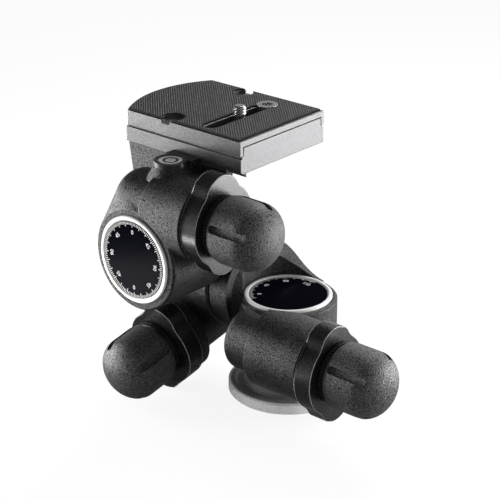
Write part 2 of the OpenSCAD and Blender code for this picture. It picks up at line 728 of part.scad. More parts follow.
module plate_pad() color("#202124") difference() {
    translate([0, 0, plate_top]) linear_extrude(pad_t) intersection() {
        plate_outline(0.9);
        translate([plate_x1 - 2 * plate_l, plate_y0]) square([2 * plate_l - pad_margin, plate_w]);
    }
    for (y = [slot_y0, slot_y1]) translate([slot_x, y, plate_top - 1])
        cylinder(r = camera_thread_d / 2 + 1, h = 3);
    block([slot_x - camera_thread_d / 2 - 1, slot_y0, plate_top - 1],
          [slot_x + camera_thread_d / 2 + 1, slot_y1, plate_top + 3]);
    translate([slot_x, stored_y, plate_top - 1]) cylinder(r = stored_screw_d / 2 + snug, h = 3);
    notches(plate_top - 1, 3);
}
// Round notch in the middle of each long edge
module notches(z, h) for (side = [-1, 1])
    translate([plate_x1 - 47.6, plate_cy + side * (plate_w / 2 - 5.6), z]) {
    cylinder(r = 5.4, h = h);
    block([-2.6, side > 0 ? 0 : -8, 0], [2.6, side > 0 ? 8 : 0, h]);
}

// The shank below the thread is relieved, so that the washer holds the screw in the slot
module camera_screw() color("#d0d2d4") translate([slot_x, screw_y, 0]) {
    zcyl(camera_thread_d / 2, top_z + thread_start, top_z + camera_screw_h);
    zcyl(screw_neck_r, platform_top + 0.2, top_z + thread_start + eps);
    difference() {
        zcyl(6.4, platform_top + 0.2, platform_top + 0.2 + screw_flange_t);
        block([-8, -0.8, platform_top], [8, 0.8, platform_top + 1]);
    }
}
module camera_screw_washer() color("#26282b") translate([slot_x, screw_y, 0])
    tube(6, screw_neck_r + run, platform_top + 0.25 + screw_flange_t,
        plate_top - plate_top_t - washer_gap);

module stored_screw() color("#c8cacc") translate([slot_x, stored_y, 0]) difference() {
    union() {
        zcyl(4.8, plate_top - plate_top_t + 0.2, plate_top + 0.02);
        zcyl(stored_screw_d / 2, plate_top + 0.02, top_z + 0.3);
    }
    translate([0, 0, plate_top - 1.6]) cylinder(r = 3, h = 5, $fn = 6);
}

// ---------- level ----------

module level_cup() color("#141517") translate([level_x, level_y, 0]) difference() {
    union() {
        zcyl(level_r, level_z - 2.6, level_z);
        zcyl(level_r - 1.2, level_z - 4.8, level_z - 2.6);
    }
    zcyl(level_r - 2.2, level_z - 3.8, level_z + 1);
}
module level_vial() color("#9fb36a") translate([level_x, level_y, 0])
    zcyl(level_r - 2.2 - snug, level_z - 3.8, level_z - 0.3);

// ---------- placed pieces ----------

base();
base_insert();

pan_casting();
in_pan() worm_dial();  // pan_dial
in_pan() worm_dial_ring();  // pan_dial_ring
in_pan() worm_wheel();  // pan_wheel
in_pan() worm_axle();  // pan_axle
in_pan() worm_nut();  // pan_nut
in_pan() worm_bush();  // pan_bush
in_pan() thrust_washer();  // pan_thrust_washer
in_pan() worm_shaft(-1, pan_reach);  // pan_worm
in_pan() ecc_sleeve(-1, pan_reach);  // pan_sleeve
in_pan() winged_collar(-1, pan_reach, -collar_lean);  // pan_collar
in_pan() return_spring(-1, pan_reach);  // pan_collar_spring
in_pan() ball_bearing(-1, pan_reach);  // pan_bearing
in_pan() grip_knob(-1, pan_reach, 57.5);  // pan_knob

front_casting();
in_front() worm_dial();  // front_dial
in_front() worm_dial_ring();  // front_dial_ring
in_front() worm_wheel();  // front_wheel
in_front() worm_axle();  // front_axle
in_front() worm_nut();  // front_nut
in_front() worm_bush();  // front_bush
in_front() thrust_washer();  // front_thrust_washer
in_front() worm_shaft(-1, front_reach);  // front_worm
in_front() ecc_sleeve(-1, front_reach);  // front_sleeve
in_front() winged_collar(-1, front_reach, 90 + front_lean);  // front_collar
in_front() return_spring(-1, front_reach);  // front_collar_spring
in_front() ball_bearing(-1, front_reach);  // front_bearing
in_front() grip_knob(-1, front_reach, 30);  // front_knob

side_casting();
in_side() worm_dial();  // side_dial
in_side() worm_dial_ring();  // side_dial_ring
in_side() worm_wheel();  // side_wheel
in_side() worm_axle();  // side_axle
in_side() worm_nut();  // side_nut
in_side() worm_bush();  // side_bush
in_side() thrust_washer();  // side_thrust_washer
in_side() worm_shaft(1, side_reach);  // side_worm
in_side() ecc_sleeve(1, side_reach);  // side_sleeve
in_side() winged_collar(1, side_reach, 90 - collar_lean);  // side_collar
in_side() return_spring(1, side_reach);  // side_collar_spring
in_side() ball_bearing(1, side_reach);  // side_bearing
in_side() grip_knob(1, side_reach, 71);  // side_knob

receiver();
receiver_screws();
locking_jaw();
clamp_lever();
lever_pin();
safety_button();
plate();
plate_pad();
camera_screw();
camera_screw_washer();
stored_screw();
level_cup();
level_vial();
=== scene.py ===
"""Geared tripod head: finishes, printed dials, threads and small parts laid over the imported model."""

import math

import bmesh
import bpy
from mathutils import Matrix, Vector


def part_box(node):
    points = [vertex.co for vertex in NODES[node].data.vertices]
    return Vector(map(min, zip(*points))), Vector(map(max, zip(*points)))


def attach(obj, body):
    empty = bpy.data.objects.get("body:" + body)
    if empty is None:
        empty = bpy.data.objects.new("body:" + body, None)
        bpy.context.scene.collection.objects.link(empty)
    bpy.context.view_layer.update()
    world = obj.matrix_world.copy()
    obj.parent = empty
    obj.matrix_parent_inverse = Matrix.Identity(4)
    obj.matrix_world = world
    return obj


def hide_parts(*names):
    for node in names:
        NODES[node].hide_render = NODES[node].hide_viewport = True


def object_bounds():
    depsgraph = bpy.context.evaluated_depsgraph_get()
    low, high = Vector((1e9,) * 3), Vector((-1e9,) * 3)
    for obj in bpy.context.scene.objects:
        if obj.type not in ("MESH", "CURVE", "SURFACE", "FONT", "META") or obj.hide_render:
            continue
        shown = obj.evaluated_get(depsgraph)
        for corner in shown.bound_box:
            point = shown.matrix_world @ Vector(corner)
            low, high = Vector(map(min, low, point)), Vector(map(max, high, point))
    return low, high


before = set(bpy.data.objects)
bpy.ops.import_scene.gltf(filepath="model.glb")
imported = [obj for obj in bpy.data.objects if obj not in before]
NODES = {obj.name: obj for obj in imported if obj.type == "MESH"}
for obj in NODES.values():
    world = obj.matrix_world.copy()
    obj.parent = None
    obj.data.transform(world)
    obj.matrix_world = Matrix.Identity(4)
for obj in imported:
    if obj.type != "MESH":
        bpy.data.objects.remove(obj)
start_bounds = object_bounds()

UNITS = ("pan", "front", "side")
MM = 0.001

# ---------------------------------------------------------------- frames of the three worm units

FRONT_LEAN = math.radians(11.6)  # how far the front knob points down
# how each unit is turned from lying flat, with its dial up and its knob towards +X
UNIT_TURN = {
    "pan": Matrix.Identity(3),
    "front": (Matrix.Rotation(FRONT_LEAN, 3, "X") @ Matrix.Rotation(-math.pi / 2, 3, "Z")
              @ Matrix.Rotation(math.pi / 2, 3, "X")),
    "side": Matrix.Rotation(math.pi / 2, 3, "X"),
}
DIAL_AXIS = {"pan": "Z", "front": "X", "side": "Y"}
SHAFT_IN_GRIP = 14 * MM


def box_mid(node):
    low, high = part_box(node)
    return (low + high) / 2


def dial_frame(unit):
    """Matrix of a dial: origin in the middle of its printed face, Z out of the face."""
    low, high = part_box(unit + "_dial")
    turn = UNIT_TURN[unit]
    out = turn @ Vector((0, 0, 1))
    half = abs((high - low).dot(Vector(map(abs, out)))) / 2
    return Matrix.Translation((low + high) / 2 + out * half) @ turn.to_4x4()


def knob_frame(unit):
    """Matrix of a knob: origin where the grip starts on the shaft, X along the shaft towards the tip."""
    turn = UNIT_TURN[unit]
    along = turn @ Vector((1, 0, 0))
    tip = max(v.co.dot(along) for v in NODES[unit + "_worm"].data.vertices)
    on_axis = box_mid(unit + "_worm")
    origin = on_axis + along * (tip - on_axis.dot(along) - SHAFT_IN_GRIP)
    return Matrix.Translation(origin) @ turn.to_4x4()


# ---------------------------------------------------------------- objects and meshes

def add_object(name, data):
    obj = bpy.data.objects.new(name, data)
    bpy.context.scene.collection.objects.link(obj)
    return obj


def new_piece(name, bm, body, material, smooth=True, sharp=35):
    """Piece that rides on a body; edges that turn by more than sharp degrees stay hard."""
    mesh = bpy.data.meshes.new(name)
    bm.normal_update()
    for face in bm.faces:
        face.smooth = smooth
    limit = math.radians(sharp)
    for edge in bm.edges:
        edge.smooth = len(edge.link_faces) == 2 and edge.calc_face_angle(0) < limit
    bm.to_mesh(mesh)
    bm.free()
    obj = add_object(name, mesh)
    mesh.materials.append(material)
    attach(obj, body)
    return obj


def lathe(bm, profile, matrix, steps=96, closed=True):
    """Turns a profile of (radius, height) round the Z axis of matrix."""
    rings = []
    for k in range(steps):
        a = 2 * math.pi * k / steps
        rings.append([bm.verts.new(matrix @ Vector((r * math.cos(a), r * math.sin(a), z)))
                      for r, z in profile])
    count = len(profile)
    last = count if closed else count - 1
    for k in range(steps):
        one, two = rings[k], rings[(k + 1) % steps]
        for j in range(last):
            bm.faces.new((one[j], two[j], two[(j + 1) % count], one[(j + 1) % count]))


def lathe_capped(bm, profile, matrix, steps=96):
    """Turned solid whose first and last rings are closed with flat faces."""
    start = len(bm.verts)
    lathe(bm, profile, matrix, steps, closed=False)
    bm.verts.ensure_lookup_table()
    count = len(profile)
    bm.faces.new([bm.verts[start + k * count] for k in range(steps)][::-1])
    bm.faces.new([bm.verts[start + k * count + count - 1] for k in range(steps)])


def slab(bm, corners, low, high, matrix):
    """Prism over a flat outline of (x, y) points, counter-clockwise."""
    bottom = [bm.verts.new(matrix @ Vector((x, y, low))) for x, y in corners]
    top = [bm.verts.new(matrix @ Vector((x, y, high))) for x, y in corners]
    bm.faces.new(top)
    bm.faces.new(bottom[::-1])
    for j in range(len(corners)):
        k = (j + 1) % len(corners)
        bm.faces.new((bottom[j], bottom[k], top[k], top[j]))


def bar(bm, x0, x1, y0, y1, low, high, matrix):
    slab(bm, [(x0, y0), (x1, y0), (x1, y1), (x0, y1)], low, high, matrix)


# ---------------------------------------------------------------- shader nodes

MIX_ONE, MIX_TWO, MIX_OUT = 6, 7, 2  # colour sockets of a Mix node


def add_node(tree, kind, inputs, **settings):
    """New node; inputs gives some of its sockets a plain value or another node's output."""
    node = tree.nodes.new(kind)
    for key, value in settings.items():
        setattr(node, key, value)
    for key, value in inputs.items():
        if isinstance(value, bpy.types.NodeSocket):
            tree.links.new(value, node.inputs[key])
        else:
            node.inputs[key].default_value = value
    return node


def math_node(tree, operation, *values, clamp=False):
    inputs = dict(enumerate(values))
    return add_node(tree, "ShaderNodeMath", inputs, operation=operation, use_clamp=clamp).outputs[0]


def map_range(tree, value, low, high, to_low, to_high):
    inputs = {"Value": value, "From Min": low, "From Max": high, "To Min": to_low, "To Max": to_high}
    return add_node(tree, "ShaderNodeMapRange", inputs).outputs[0]


def mix_colour(tree, share, one, two):
    inputs = {"Factor": share, MIX_ONE: one, MIX_TWO: two}
    return add_node(tree, "ShaderNodeMix", inputs, data_type="RGBA").outputs[MIX_OUT]


# ---------------------------------------------------------------- procedural finishes

WIDE_SCALE = 70  # of the noise behind slow changes of tone and worn patches
WIDE_SHARE = 0.3  # how far that noise moves the tone
TONE_START = 0.35  # tone of a finish without speckle where that noise is at its lowest
WAVE_LENGTH = 0.31  # of a wave texture at scale 1
WORN_AND_LIT_START, WORN_AND_LIT_FULL = 0.97, 0.86  # cosines between the real and the rounded normal
INNER_BLUR = 0.2  # mm on both sides of a finish's inner radius
SMOOTHEST = 0.02
COAT_ROUGH = 0.12


def lathe_lines(tree, coords, centre, axis, pitch):
    """Height of the rings that a lathe leaves round an axis through centre."""
    moved = add_node(tree, "ShaderNodeMapping", {"Vector": coords, "Location": -centre}).outputs[0]
    inputs = {"Vector": moved, "Scale": WAVE_LENGTH / (pitch * MM), "Distortion": 0.6}
    lines = add_node(tree, "ShaderNodeTexWave", inputs, wave_type="RINGS", rings_direction=axis)
    return lines.outputs["Fac"]


def dark_inside(tree, colour, coords, radius, left):
    """Colour of which only a share is left within a radius round the pan axis; on the base this is black
    paint on its neck and painted shade on the top of its disc.
    """
    flat = add_node(tree, "ShaderNodeVectorMath", {0: coords, 1: (1, 1, 0)}, operation="MULTIPLY")
    away = add_node(tree, "ShaderNodeVectorMath", {0: flat.outputs[0]}, operation="LENGTH")
    share = map_range(tree, away.outputs["Value"], (radius - INNER_BLUR) * MM, (radius + INNER_BLUR) * MM,
                      left, 1.0)
    dim = add_node(tree, "ShaderNodeVectorMath", {0: colour, "Scale": share}, operation="SCALE")
    return dim.outputs[0]


def worn_edges(tree, colour, bare_and_highlight_grey, wear_and_highlight, rounded, patches):
    """Colour turned to a lighter grey, in patches, where the rounded normal leaves the real one: wear on
    most finishes, and a painted highlight on the collars and the plate.
    """
    real = tree.nodes.new("ShaderNodeNewGeometry").outputs["Normal"]
    facing = add_node(tree, "ShaderNodeVectorMath", {0: rounded, 1: real}, operation="DOT_PRODUCT")
    worn_and_lit = map_range(tree, facing.outputs["Value"], WORN_AND_LIT_START, WORN_AND_LIT_FULL, 0.0, wear_and_highlight)
    return mix_colour(tree, math_node(tree, "MULTIPLY", worn_and_lit, patches), colour, (bare_and_highlight_grey, bare_and_highlight_grey, bare_and_highlight_grey, 1))


def finish_of(name, colour, rough, metal=0.0, grain=0.6, depth=0.05, bump=0.5, tint=0.2, speckle=0.9,
              spread=0.08, specular=0.5, glint=0.0, edge=0.4, wear_and_highlight=0.0, bare_and_highlight_grey=0.5, coat=0.0,
              turned=None, pitch=0.3, inner=None):
    """A painted, moulded or machined finish. Lengths are in millimetres.

    grain, depth, bump: size, height and strength of the surface's fine relief
    tint, speckle: how far apart the light and dark tones are, and how sharply the grain splits them
    spread, glint: how far the roughness and the specular level follow the tone
    edge, wear, bare: radius at edges, how far they turn lighter, and the grey they turn to; this is wear on
    most finishes and a painted highlight on the collars and the plate
    turned, pitch: (centre, axis) and pitch of a lathe's rings
    inner: (radius round the pan axis, share of the colour left within it)
    """
    material = bpy.data.materials.new(name)
    material.use_nodes = True
    tree = material.node_tree
    coords = tree.nodes.new("ShaderNodeTexCoord").outputs["Object"]
    inputs = {"Vector": coords, "Scale": 1 / (grain * MM), "Detail": 3, "Roughness": 0.6}
    fine = add_node(tree, "ShaderNodeTexNoise", inputs).outputs["Fac"]
    inputs = {"Vector": coords, "Scale": WIDE_SCALE, "Detail": 4}
    wide = add_node(tree, "ShaderNodeTexNoise", inputs).outputs["Fac"]
    rounded = add_node(tree, "ShaderNodeBevel", {"Radius": edge * MM}, samples=6).outputs[0]

    # tone from 0, dark, to 1, light
    speckled = math_node(tree, "MULTIPLY_ADD", fine, speckle, TONE_START - speckle / 2)
    tone = math_node(tree, "MULTIPLY_ADD", wide, WIDE_SHARE, speckled, clamp=True)
    dark = [c * (1 - tint) for c in colour] + [1]
    light = [min(1, c * (1 + tint)) for c in colour] + [1]
    surface = mix_colour(tree, tone, dark, light)
    if inner:
        surface = dark_inside(tree, surface, coords, *inner)
    if wear_and_highlight:
        surface = worn_edges(tree, surface, bare_and_highlight_grey, wear_and_highlight, rounded, wide)

    height = fine
    if turned:
        height = math_node(tree, "ADD", fine, lathe_lines(tree, coords, *turned, pitch))
    inputs = {"Strength": bump, "Distance": depth * MM, "Height": height, "Normal": rounded}
    relief = add_node(tree, "ShaderNodeBump", inputs).outputs[0]

    shader = tree.nodes["Principled BSDF"]
    shader.inputs["Metallic"].default_value = metal
    shader.inputs["Specular IOR Level"].default_value = specular
    if coat:
        shader.inputs["Coat Weight"].default_value = coat
        shader.inputs["Coat Roughness"].default_value = COAT_ROUGH
    roughness = map_range(tree, tone, 0.0, 1.0, max(SMOOTHEST, rough - spread), min(1, rough + spread))
    tree.links.new(surface, shader.inputs["Base Color"])
    tree.links.new(roughness, shader.inputs["Roughness"])
    tree.links.new(relief, shader.inputs["Normal"])
    if glint:
        level = map_range(tree, tone, 0.0, 1.0, specular * (1 - glint), specular * (1 + glint))
        tree.links.new(level, shader.inputs["Specular IOR Level"])
    return material


def dress(material, *names):
    for name in names:
        mesh = NODES[name].data
        mesh.materials.clear()
        mesh.materials.append(material)


# strong light and dark grain of the castings and the knobs
COARSE = {"bump": 1.0, "tint": 0.85, "speckle": 3.6, "spread": 0.12, "glint": 0.95}
GREY_PAINT = {"colour": (0.1, 0.1, 0.102), "rough": 0.42, "metal": 0.8, "grain": 0.6, "depth": 0.16,
              "bump": 0.8, "speckle": 3.0, "specular": 0.4}

cast_paint = finish_of("cast_paint", (0.012, 0.012, 0.0125), 0.38, grain=0.6, depth=0.34, edge=0.7,
                       wear_and_highlight=0.3, bare_and_highlight_grey=0.35, specular=0.34, **COARSE)
# the near white grey along the collars' edges is a painted highlight
collar_paint = finish_of("collar_paint", (0.007, 0.007, 0.0075), 0.28, grain=0.6, depth=0.06, bump=0.5,
                         edge=0.7, wear_and_highlight=1.0, bare_and_highlight_grey=0.9, specular=0.55, tint=0.5, speckle=2.0)
knob_rubber = finish_of("knob_rubber", (0.032, 0.032, 0.034), 0.46, grain=0.58, depth=0.28, edge=0.5,
                        wear_and_highlight=0.15, bare_and_highlight_grey=0.4, specular=0.45, **COARSE)
neck_rubber = finish_of("neck_rubber", (0.01, 0.01, 0.0105), 0.5, grain=0.4, depth=0.05, bump=0.4, edge=0.2)
dial_print = finish_of("dial_print", (0.0012, 0.0012, 0.0035), 0.2, grain=0.25, depth=0.004, bump=0.2,
                       edge=0.15, specular=0.01)
mark_print = finish_of("mark_print", (0.6, 0.6, 0.59), 0.5, grain=0.3, depth=0.01, bump=0.2, tint=0.06,
                       edge=0.02)
receiver_paint = finish_of("receiver_paint", edge=0.5, tint=0.45, wear_and_highlight=0.35, bare_and_highlight_grey=0.6, **GREY_PAINT)
# the light grey along the plate's edges is a painted highlight
plate_paint = finish_of("plate_paint", edge=0.4, tint=0.4, wear_and_highlight=0.7, bare_and_highlight_grey=0.85, **GREY_PAINT)
pad_groove = finish_of("pad_groove", (0.008, 0.008, 0.0083), 0.7, grain=0.3, depth=0.06, bump=0.6,
                       edge=0.2, specular=0.2)
pad_rubber = finish_of("pad_rubber", (0.06, 0.06, 0.061), 0.65, grain=1.0, depth=0.06, bump=0.6, tint=0.9,
                       edge=0.1, speckle=4.0, specular=0.3)
lever_paint = finish_of("lever_paint", (0.03, 0.03, 0.032), 0.38, metal=0.2, grain=0.3, depth=0.03,
                        bump=0.3, edge=0.5, wear_and_highlight=0.3)
cup_plastic = finish_of("cup_plastic", (0.012, 0.012, 0.013), 0.35, grain=0.3, depth=0.02, bump=0.25,
                        edge=0.3)
# the base is bright at its rim; within 28.6 mm of its axis it is darker, with black paint on its neck and
# painted shade on the top of its disc
base_metal = finish_of("base_metal", (0.76, 0.76, 0.755), 0.4, metal=0.25, grain=0.8, depth=0.03, bump=0.4,
                       turned=(Vector(), "Z"), pitch=0.6, edge=0.4, speckle=2.5, inner=(28.6, 0.26))
bronze = finish_of("bronze", (0.45, 0.29, 0.12), 0.34, metal=0.9, grain=0.25, depth=0.02, bump=0.3,
                   tint=0.12, edge=0.15)
brass = finish_of("brass", (0.62, 0.45, 0.18), 0.3, metal=0.9, grain=0.25, depth=0.015, bump=0.3,
                  tint=0.1, edge=0.25)
steel = finish_of("steel", (0.52, 0.53, 0.54), 0.26, metal=0.95, grain=0.25, depth=0.01, bump=0.3,
                  tint=0.08, edge=0.2)
alloy = finish_of("alloy", (0.42, 0.43, 0.44), 0.38, metal=0.85, grain=0.3, depth=0.02, bump=0.35,
                  tint=0.1, edge=0.3)
acetal = finish_of("acetal", (0.72, 0.7, 0.64), 0.45, grain=0.4, depth=0.01, bump=0.2, tint=0.06, edge=0.2)
screw_black = finish_of("screw_black", (0.03, 0.03, 0.032), 0.36, metal=0.6, grain=0.25, depth=0.02,
                        bump=0.3, edge=0.2)
fluid = finish_of("fluid", (0.42, 0.44, 0.4), 0.12, grain=0.8, depth=0.003, bump=0.15, tint=0.08,
                  edge=0.2, coat=0.8)
bubble_glass = finish_of("bubble_glass", (0.3, 0.31, 0.29), 0.08, grain=0.8, depth=0.003, bump=0.1,
                         tint=0.05, edge=0.05, coat=1.0)

for unit in UNITS:
    ring = finish_of(unit + "_ring_metal", (0.7, 0.7, 0.7), 0.36, metal=0.3, grain=0.3, depth=0.006,
                     bump=0.3, tint=0.05, edge=0.2, turned=(box_mid(unit + "_dial"), DIAL_AXIS[unit]),
                     pitch=0.25)
    dress(cast_paint, unit + "_casting")
    dress(dial_print, unit + "_dial")
    dress(ring, unit + "_dial_ring")
    dress(bronze, unit + "_wheel", unit + "_bush")
    dress(steel, unit + "_axle", unit + "_nut", unit + "_worm", unit + "_collar_spring", unit + "_bearing")
    dress(acetal, unit + "_thrust_washer")
    dress(alloy, unit + "_sleeve")
    dress(collar_paint, unit + "_collar")
    dress(knob_rubber, unit + "_knob")
dress(base_metal, "base")
dress(brass, "base_insert", "locking_jaw", "safety_button")
dress(receiver_paint, "receiver")
dress(screw_black, "receiver_screws", "camera_screw_washer")
dress(lever_paint, "clamp_lever")
dress(steel, "lever_pin", "camera_screw", "stored_screw")
dress(plate_paint, "plate")
dress(pad_groove, "plate_pad")
dress(cup_plastic, "level_cup")
dress(fluid, "level_vial")

# ---------------------------------------------------------------- dials: plate, ticks and numbers

# printed plate on the disc, a little below the bright ring's face
PLATE_R = 19.4 * MM
PLATE_T = 1.1 * MM
PLATE_EDGE = 0.15 * MM
PLATE_FOOT = 0.1 * MM
PLATE_SIDES = 128

TICKS = 120
LONG_EVERY = 5
TICK_OUT = 19.2 * MM
TICK_SHORT = 1.4 * MM
TICK_LONG = 2.4 * MM
TICK_HALF = 0.15 * MM
NUMBER_R = 14.2 * MM
NUMBER_SIZE = 3.1 * MM
PRINT_LOW, PRINT_HIGH = 0.002 * MM, 0.04 * MM
# by angle in degrees; the pan dial has a scale on part of its edge only
NUMBER_STEP = 45
TILT_SCALE, PAN_SCALE = (0, 360), (84, 240)
TILT_NUMBERS = {angle: abs(90 - angle % 180) for angle in range(0, 360, NUMBER_STEP)}
PAN_NUMBERS = {angle: 225 - angle for angle in range(90, 226, NUMBER_STEP)}


def dial_plate(unit):
    bm = bmesh.new()
    profile = [(PLATE_R - PLATE_EDGE, 0.0), (PLATE_R, PLATE_FOOT), (PLATE_R, PLATE_T - PLATE_EDGE),
               (PLATE_R - PLATE_EDGE, PLATE_T)]
    lathe_capped(bm, profile, dial_frame(unit), PLATE_SIDES)
    plate = new_piece(unit + "_dial_plate", bm, unit + "_stage", dial_print)


def add_number(bm, number, matrix):
    curve = bpy.data.curves.new("number", "FONT")
    curve.body = str(number)
    curve.size = NUMBER_SIZE
    curve.align_x = "CENTER"
    curve.align_y = "CENTER"
    curve.resolution_u = 3
    curve.extrude = (PRINT_HIGH - PRINT_LOW) / 2
    holder = add_object("number", curve)
    bpy.context.view_layer.update()
    shape = bpy.data.meshes.new_from_object(holder.evaluated_get(bpy.context.evaluated_depsgraph_get()))
    shape.transform(matrix @ Matrix.Translation((0, 0, (PRINT_HIGH + PRINT_LOW) / 2)))
    bm.from_mesh(shape)
    bpy.data.objects.remove(holder)
    bpy.data.curves.remove(curve)
    bpy.data.meshes.remove(shape)


def dial_marks(unit):
    place = dial_frame(unit) @ Matrix.Translation((0, 0, PLATE_T))
    numbers, (first, last) = (PAN_NUMBERS, PAN_SCALE) if unit == "pan" else (TILT_NUMBERS, TILT_SCALE)
    bm = bmesh.new()
    for k in range(TICKS):
        angle = 360 * k / TICKS
        if not first <= angle <= last:
            continue
        turn = place @ Matrix.Rotation(math.radians(angle), 4, "Z")
        start = TICK_OUT - (TICK_SHORT if k % LONG_EVERY else TICK_LONG)
        bar(bm, start, TICK_OUT, -TICK_HALF, TICK_HALF, PRINT_LOW, PRINT_HIGH, turn)
    for angle, number in numbers.items():
        turn = Matrix.Rotation(math.radians(angle), 4, "Z")
        upright = Matrix.Translation((NUMBER_R, 0, 0)) @ Matrix.Rotation(-math.pi / 2, 4, "Z")
        add_number(bm, number, place @ turn @ upright)
    marks = new_piece(unit + "_dial_marks", bm, unit + "_stage", mark_print, smooth=False)


for unit in UNITS:
    dial_plate(unit)
    dial_marks(unit)

# ---------------------------------------------------------------- knobs: ribbed neck ring

# heights are along the knob from where its grip starts, so the neck lies below zero
NECK_RIBS = 60
NECK_IN, NECK_OUT = 10.6 * MM, 14.4 * MM
NECK_LOW, NECK_HIGH = -2.9 * MM, -0.3 * MM
NECK_BEVEL = 0.2 * MM
NECK_RIB_OUT = 15.1 * MM
NECK_RIB_HALF = 0.35 * MM
NECK_RIB_INSET = 0.3 * MM


def neck_ring(unit):
    place = knob_frame(unit) @ Matrix.Rotation(math.pi / 2, 4, "Y")
    face_r = NECK_OUT - NECK_BEVEL
    profile = [(NECK_IN, NECK_LOW), (face_r, NECK_LOW), (NECK_OUT, NECK_LOW + NECK_BEVEL),
               (NECK_OUT, NECK_HIGH - NECK_BEVEL), (face_r, NECK_HIGH), (NECK_IN, NECK_HIGH)]
    bm = bmesh.new()
    lathe(bm, profile, place)
    for k in range(NECK_RIBS):
        turn = place @ Matrix.Rotation(2 * math.pi * k / NECK_RIBS, 4, "Z")
        bar(bm, face_r, NECK_RIB_OUT, -NECK_RIB_HALF, NECK_RIB_HALF,
            NECK_LOW + NECK_RIB_INSET, NECK_HIGH - NECK_RIB_INSET, turn)
    ring = new_piece(unit + "_knob_neck_ring", bm, unit + "_knob_and_worm", neck_rubber, smooth=False)


for unit in UNITS:
    neck_ring(unit)

# ---------------------------------------------------------------- camera screw with its thread

THREAD_PITCH = 1.27 * MM
THREAD_STEPS = 24
THREAD_ROWS = 8  # for each turn
THREAD_START = 0.3 * MM  # above the pad
CREST_R = 3.17 * MM
ROOT_R = CREST_R - 0.75 * MM
CREST_CUT = 1.25  # how much steeper the flanks are than ones that meet in a point
TIP_R = ROOT_R - 0.2 * MM
TIP_LONG = 0.9 * MM
SHANK_R = 2.85 * MM
# the flange is a full disc on two half discs, which leave the driver slot between them
FLANGE_R = 6.4 * MM
FLANGE_IN = 2.0 * MM
FLANGE_T = 1.8 * MM
FLANGE_BEVEL = 0.2 * MM
FLANGE_SIDES = 64
DRIVER_DEEP = 0.9 * MM
DRIVER_HALF = 0.8 * MM
DRIVER_STEPS = 16
OVERLAP = 0.05 * MM


def screw_radius(z, turn, tall, thread_low):
    """Radius of the shank at a height and a share of a turn; the thread follows its helix."""
    if z < thread_low:
        return SHANK_R
    rise = 1 - abs(2 * ((z / THREAD_PITCH - turn) % 1.0) - 1)
    threaded = ROOT_R + (CREST_R - ROOT_R) * min(1.0, rise * CREST_CUT)
    pointed = TIP_R + (CREST_R - TIP_R) * min(1.0, (tall - z) / TIP_LONG)
    return min(threaded, pointed)


def screw_shank(bm, tall, thread_low, place):
    rows = int((tall - FLANGE_T) / (THREAD_PITCH / THREAD_ROWS))
    grid = []
    for i in range(rows + 1):
        z = FLANGE_T + (tall - FLANGE_T) * i / rows
        ring = []
        for j in range(THREAD_STEPS):
            a = 2 * math.pi * j / THREAD_STEPS
            r = screw_radius(z, j / THREAD_STEPS, tall, thread_low)
            ring.append(bm.verts.new(place @ Vector((r * math.cos(a), r * math.sin(a), z))))
        grid.append(ring)
    for i in range(rows):
        for j in range(THREAD_STEPS):
            k = (j + 1) % THREAD_STEPS
            bm.faces.new((grid[i][j], grid[i][k], grid[i + 1][k], grid[i + 1][j]))
    bm.faces.new(grid[-1])
    bm.faces.new(grid[0][::-1])


def screw_flange(bm, place):
    face_r = FLANGE_R - FLANGE_BEVEL
    lathe(bm, [(FLANGE_IN, DRIVER_DEEP), (face_r, DRIVER_DEEP), (FLANGE_R, DRIVER_DEEP + FLANGE_BEVEL),
               (FLANGE_R, FLANGE_T - FLANGE_BEVEL), (face_r, FLANGE_T), (FLANGE_IN, FLANGE_T)],
          place, FLANGE_SIDES)
    first = math.asin(DRIVER_HALF / FLANGE_R)
    for side in (-1, 1):
        arc = []
        for t in range(DRIVER_STEPS + 1):
            a = first + (math.pi - 2 * first) * t / DRIVER_STEPS
            arc.append((FLANGE_R * math.cos(a), side * FLANGE_R * math.sin(a)))
        slab(bm, arc[::side], 0.0, DRIVER_DEEP + OVERLAP, place)


def camera_screw():
    low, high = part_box("camera_screw")
    place = Matrix.Translation(((low.x + high.x) / 2, (low.y + high.y) / 2, low.z))
    thread_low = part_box("plate_pad")[1].z + THREAD_START - low.z
    bm = bmesh.new()
    screw_shank(bm, high.z - low.z, thread_low, place)
    screw_flange(bm, place)
    screw = new_piece("camera_screw_threaded", bm, "screw", steel, sharp=30)
    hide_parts("camera_screw")


camera_screw()

# ---------------------------------------------------------------- pad: fine diagonal ribs

RIB_STEP = 1.15 * MM
RIB_HALF = 0.3 * MM
RIB_HIGH = 0.18 * MM
RIB_SLOPE = 0.55  # share of the half width that a sloping side takes
RIB_TEST = 0.35 * MM  # step in which a rib's line is tested
RIB_SHORTEST = 4  # such steps
RIB_REACH = 80 * MM  # from the pad's middle, past all its corners
# the plate's rounded end, slot and notches, as the solids have them
PLATE_BULGE = 10 * MM
SLOT_START, SLOT_END = 8.4 * MM, 42.4 * MM  # from the plate's long edge
NOTCH_X = 47.6 * MM  # from the plate's straight end
NOTCH_IN = 5.6 * MM  # from the long edges
# what the ribs keep clear of
EDGE_CLEAR = 1.4 * MM
END_CLEAR = 0.5 * MM
SLOT_CLEAR = 4.575 * MM  # from the camera screw's axis, all along its slot
STORED_CLEAR = 5.9 * MM
NOTCH_CLEAR = 5.9 * MM
NOTCH_HALF_CLEAR = 3.1 * MM


